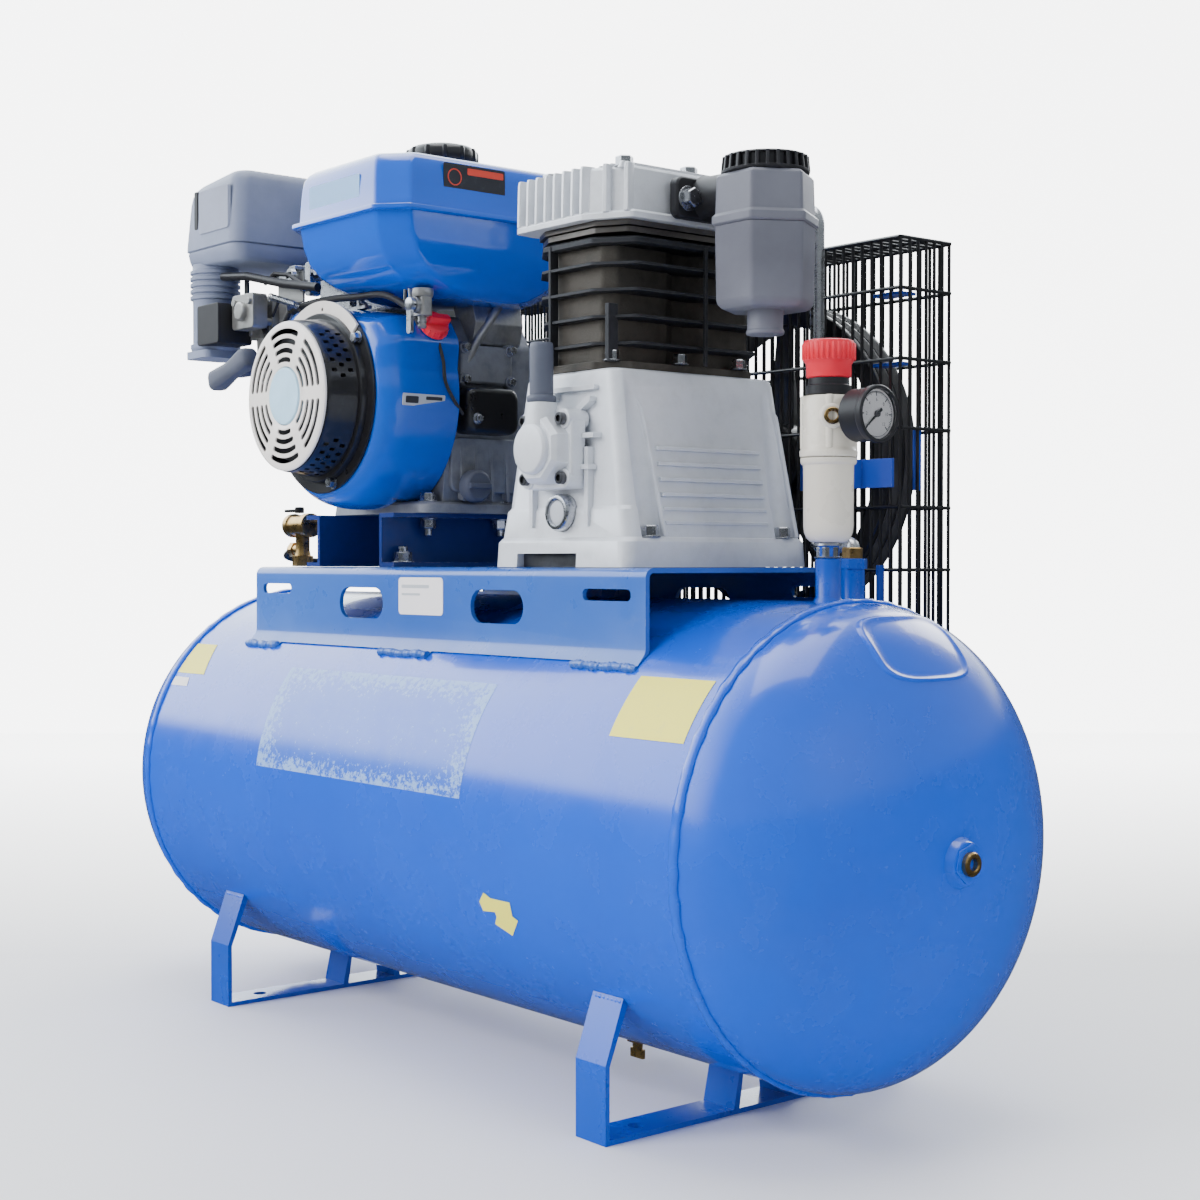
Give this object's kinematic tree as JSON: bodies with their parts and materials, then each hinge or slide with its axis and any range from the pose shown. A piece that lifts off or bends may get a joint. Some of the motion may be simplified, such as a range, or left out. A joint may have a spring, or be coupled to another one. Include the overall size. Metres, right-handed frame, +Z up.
{
  "type": "twin stack compressor",
  "caption": "Petrol-engine air compressor: belt-driven inline reciprocating pump on a horizontal blue receiver with feet, belt guard, intake filter and pressure regulator.",
  "frame": {"origin": "on the floor, midway between the two feet under the receiver axis; the outlet port at one end puts the bottom centre of the bounding box about 6.4 mm further along +X and 0.5 mm along +Y", "axes": "+X along the receiver towards the outlet-port end, +Y towards the belt guard, +Z up; the recoil starter faces -Y"},
  "size_m": [1.0233, 0.371, 0.826],
  "materials": {
    "receiver_blue": "gloss enamel, bright blue",
    "bracket_blue": "satin enamel, steel blue",
    "rail_navy": "satin enamel, navy",
    "engine_blue": "gloss enamel, vivid blue",
    "cast_grey": "grey painted aluminium casting",
    "cast_aluminium": "sand-cast, light",
    "cast_iron_dark": "dark, dry",
    "plastic_grey": "mid grey moulded",
    "airbox_grey": "blue-grey moulded",
    "black_enamel": "black enamel",
    "belt_rubber": "matt black",
    "white_enamel": "white enamel",
    "red_plastic": "red moulded",
    "cream_enamel": "cream enamel",
    "brass": "machined",
    "bright_steel": "bright",
    "black_plastic": "black moulded"
  },
  "bodies": {
    "compressor_frame": {"tank_barrel": "receiver_blue", "tank_head_left": "receiver_blue", "tank_head_right": "receiver_blue", "tank_port": "brass", "foot_left": "receiver_blue", "foot_right": "receiver_blue", "platform_plate": "bracket_blue", "engine_rail_left": "rail_navy", "engine_rail_right": "rail_navy", "engine_crankcase": "cast_grey", "engine_cylinder": "cast_aluminium", "engine_rocker_cover": "bright_steel", "fan_shroud": "engine_blue", "recoil_housing": "black_enamel", "recoil_cover": "white_enamel", "fuel_tank": "engine_blue", "air_cleaner_base": "airbox_grey", "air_cleaner_cover": "airbox_grey", "carburettor": "cast_aluminium", "fuel_tap": "cast_aluminium", "ignition_box": "black_plastic", "muffler": "bright_steel", "pump_crankcase": "cast_aluminium", "pump_front_cover": "cast_aluminium", "breather_tube": "plastic_grey", "oil_sight_glass": "bright_steel", "pump_rear_cover": "cast_aluminium", "cylinder_block": "cast_iron_dark", "valve_plate": "bright_steel", "cylinder_head": "cast_aluminium", "intake_flange": "black_enamel", "air_filter_body": "plastic_grey", "drive_belt_inner": "belt_rubber", "drive_belt_outer": "belt_rubber", "belt_guard": "black_enamel", "regulator_riser": "receiver_blue", "regulator_bowl": "cream_enamel", "regulator_body": "cream_enamel", "gauge_case": "black_enamel", "check_valve": "receiver_blue", "discharge_pipe": "bright_steel", "drain_valve": "brass", "unloader_valve": "brass"},
    "pump_drive": {"pump_crankshaft": "bright_steel", "flywheel": "black_enamel"},
    "engine_drive": {"engine_pulley_shaft": "cast_iron_dark"},
    "front_piston": {"piston_front": "cast_aluminium"},
    "rear_piston": {"piston_rear": "cast_aluminium"},
    "starter_grip": {"recoil_handle": "plastic_grey"},
    "fuel_cap_turn": {"fuel_cap": "black_plastic"},
    "choke": {"choke_lever": "black_plastic"},
    "throttle": {"throttle_lever": "bright_steel"},
    "fuel_tap_handle": {"fuel_tap_lever": "bright_steel"},
    "stop_switch": {"engine_switch": "red_plastic"},
    "oil_cap": {"oil_filler_cap": "plastic_grey"},
    "filter_lid": {"air_filter_lid": "black_plastic"},
    "pressure_knob": {"regulator_knob": "red_plastic"},
    "needle": {"gauge_needle": "black_enamel"},
    "drain_screw": {"drain_valve_screw": "brass"},
    "pilot_lever": {"unloader_lever": "black_plastic"}
  },
  "joints": [
    {"name": "pump_spin", "type": "hinge", "parent": "compressor_frame", "child": "pump_drive", "pos_m": [0.18, 0.15, 0.5247], "axis": [0, 1, 0], "continuous": true},
    {"name": "engine_spin", "type": "hinge", "parent": "compressor_frame", "child": "engine_drive", "pos_m": [-0.157, 0.15, 0.588], "axis": [0, 1, 0], "continuous": true},
    {"name": "piston_front_stroke", "type": "slide", "parent": "compressor_frame", "child": "front_piston", "axis": [0, 0, 1], "range_m": [-0.023, 0.023]},
    {"name": "piston_rear_stroke", "type": "slide", "parent": "compressor_frame", "child": "rear_piston", "axis": [0, 0, 1], "range_m": [-0.023, 0.023]},
    {"name": "starter_pull", "type": "slide", "parent": "compressor_frame", "child": "starter_grip", "axis": [0, -1, 0], "range_m": [0, 0.45]},
    {"name": "fuel_cap_twist", "type": "hinge", "parent": "compressor_frame", "child": "fuel_cap_turn", "pos_m": [-0.096, -0.032, 0.812], "axis": [0, 0, 1], "range_deg": [0, 90]},
    {"name": "choke_swing", "type": "hinge", "parent": "compressor_frame", "child": "choke", "pos_m": [-0.309, -0.121, 0.69], "axis": [0, 1, 0], "range_deg": [0, 40]},
    {"name": "throttle_swing", "type": "hinge", "parent": "compressor_frame", "child": "throttle", "pos_m": [-0.226, -0.118, 0.712], "axis": [0, 1, 0], "range_deg": [-20, 20]},
    {"name": "fuel_tap_swing", "type": "hinge", "parent": "compressor_frame", "child": "fuel_tap_handle", "pos_m": [-0.047, -0.1, 0.667], "axis": [0, -1, 0], "range_deg": [0, 90]},
    {"name": "stop_switch_turn", "type": "hinge", "parent": "compressor_frame", "child": "stop_switch", "pos_m": [-0.061, -0.068, 0.649], "axis": [0.809, 0, 0.5878], "range_deg": [0, 60]},
    {"name": "oil_cap_twist", "type": "hinge", "parent": "compressor_frame", "child": "oil_cap", "pos_m": [-0.062, -0.016, 0.506], "axis": [1, 0, 0], "continuous": true},
    {"name": "filter_lid_twist", "type": "hinge", "parent": "compressor_frame", "child": "filter_lid", "pos_m": [0.321, -0.016, 0.74], "axis": [0, 0, 1], "range_deg": [0, 30]},
    {"name": "pressure_knob_turn", "type": "hinge", "parent": "compressor_frame", "child": "pressure_knob", "pos_m": [0.372, 0.002, 0.585], "axis": [0, 0, 1], "continuous": true},
    {"name": "needle_swing", "type": "hinge", "parent": "compressor_frame", "child": "needle", "pos_m": [0.4213, 0.002, 0.545], "axis": [1, 0, 0], "range_deg": [-270, 0]},
    {"name": "drain_screw_turn", "type": "hinge", "parent": "compressor_frame", "child": "drain_screw", "pos_m": [0.15, 0, 0.022], "axis": [0, 0, 1], "continuous": true},
    {"name": "pilot_lever_turn", "type": "hinge", "parent": "compressor_frame", "child": "pilot_lever", "pos_m": [-0.268, -0.086, 0.485], "axis": [0, 0, 1], "range_deg": [0, 90]}
  ],
  "couplings": [
    {"joint": "engine_spin", "follows": "pump_spin", "ratio": 3}
  ]
}
